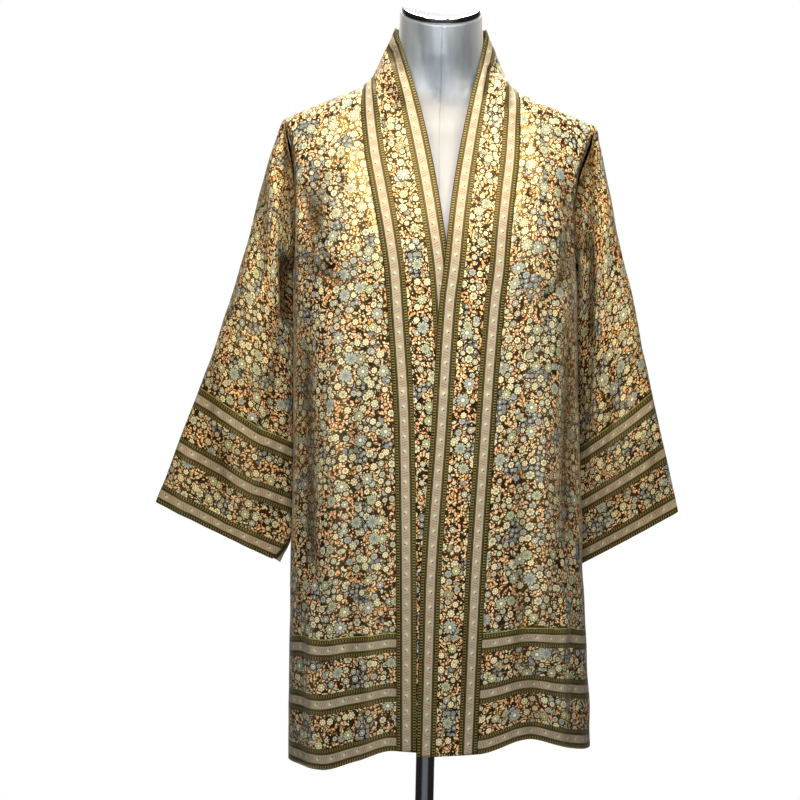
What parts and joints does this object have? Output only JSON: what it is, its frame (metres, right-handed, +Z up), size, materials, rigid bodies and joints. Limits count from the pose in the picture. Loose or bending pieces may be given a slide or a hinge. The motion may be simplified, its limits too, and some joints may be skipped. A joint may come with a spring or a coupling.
{
  "type": "kimono jacket on dress form",
  "caption": "Kimono-style open-front jacket in small floral silk with striped borders, on a limbless dress form on a pole stand.",
  "frame": {"origin": "centre of the base plate's underside, on the floor, on the pole's axis", "axes": "+Z up along the pole; the jacket's front faces -Y; +X is the wearer's left"},
  "size_m": [0.705, 0.3, 1.5653],
  "materials": {
    "printed_silk": "satin silk, all-over small floral print on dark maroon brown, with striped borders",
    "facing_silk": "plain satin silk",
    "form_cover": "smooth silver-grey satin cover",
    "chrome": "polished"
  },
  "bodies": {
    "root": {"back_panel": "printed_silk", "right_front_panel": "printed_silk", "left_front_panel": "printed_silk", "right_sleeve": "printed_silk", "left_sleeve": "printed_silk", "right_neck_band": "printed_silk", "left_neck_band": "printed_silk", "right_cuff_slit_facing": "facing_silk", "form_torso": "form_cover", "form_neck_cap": "chrome", "stand_pole": "chrome", "stand_base": "chrome"}
  },
  "joints": []
}
